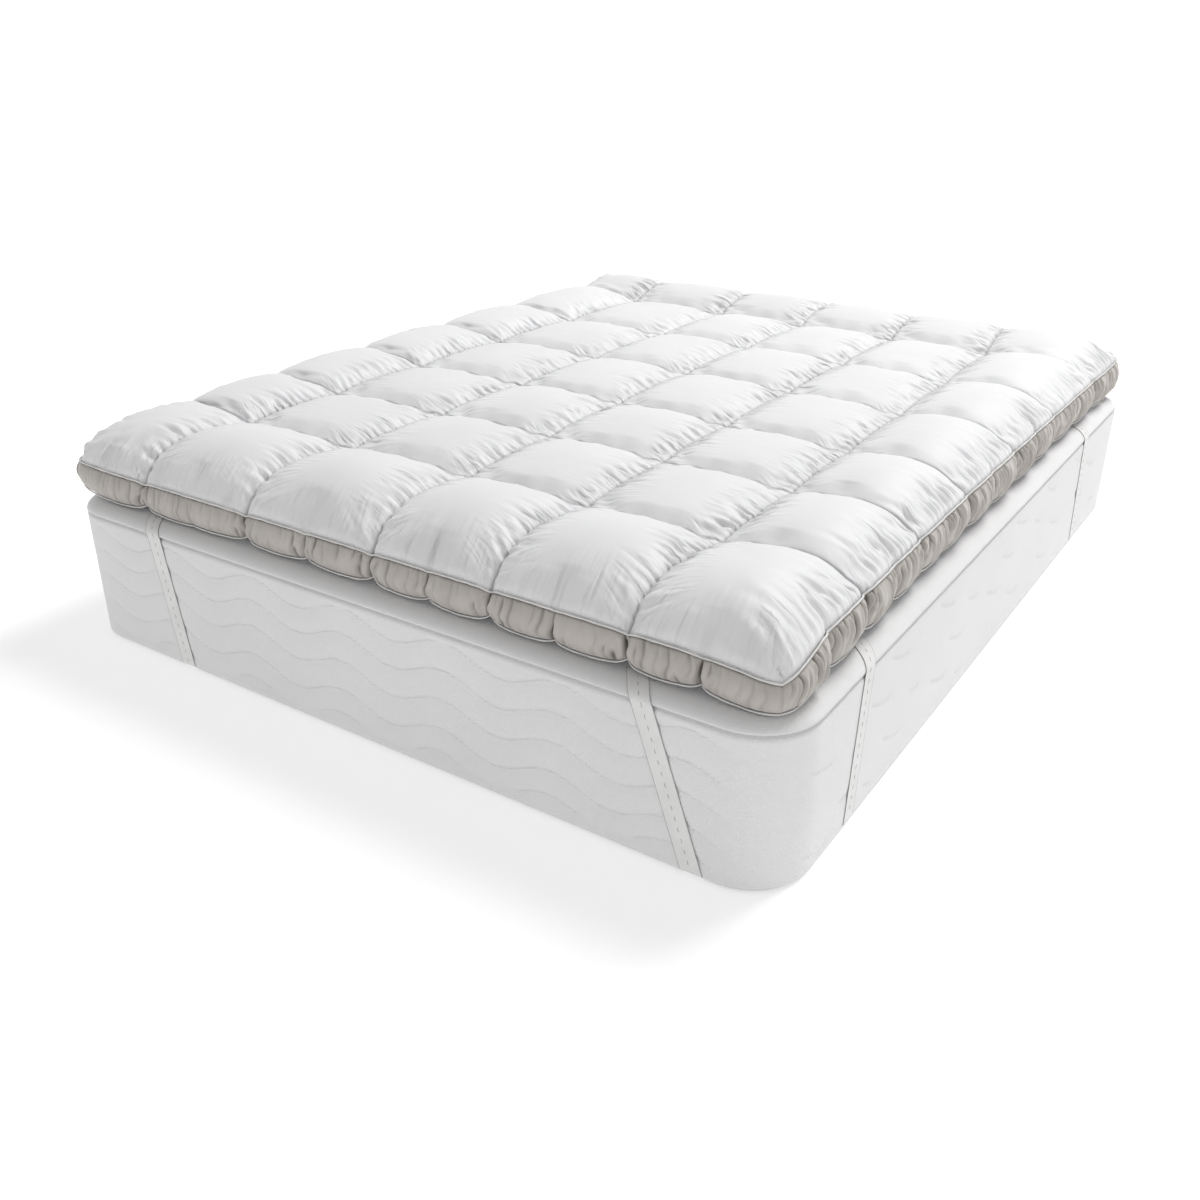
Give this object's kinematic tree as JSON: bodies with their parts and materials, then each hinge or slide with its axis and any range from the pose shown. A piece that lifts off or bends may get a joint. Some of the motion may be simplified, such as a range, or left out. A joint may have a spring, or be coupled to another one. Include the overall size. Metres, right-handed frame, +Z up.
{
  "type": "mattress topper on a mattress",
  "caption": "Quilted, down-filled mattress topper with a gathered side band, piped seams and elastic corner straps, lying on a plain mattress that it is strapped to.",
  "frame": {"origin": "on the surface that the mattress lies on, under the middle of the whole part", "axes": "+Z up, +X towards the right long side of the bed, +Y from the front end, which the picture shows, to the back end"},
  "size_m": [1.6591, 2.0425, 0.447],
  "materials": {
    "down_proof_cotton": "white down-proof cotton, closely woven, with a slight sheen and fine gathers at the channels",
    "gusset_cotton": "warm grey-beige cotton, gathered, soft sheen",
    "piping_cotton": "off-white cotton over a thin cord, matt",
    "woven_elastic": "flat white woven elastic, matt, one row of dashed stitches along its middle",
    "mattress_knit": "white stretch knit, matt, quilted in wavy lines on the border"
  },
  "bodies": {
    "root": {"mattress": "mattress_knit", "topper_body": "down_proof_cotton", "gusset_front": "gusset_cotton", "gusset_right": "gusset_cotton", "gusset_back": "gusset_cotton", "gusset_left": "gusset_cotton", "piping_top": "piping_cotton", "piping_bottom": "piping_cotton", "strap_front_left": "woven_elastic", "strap_front_right": "woven_elastic", "strap_back_right": "woven_elastic", "strap_back_left": "woven_elastic"}
  },
  "joints": []
}
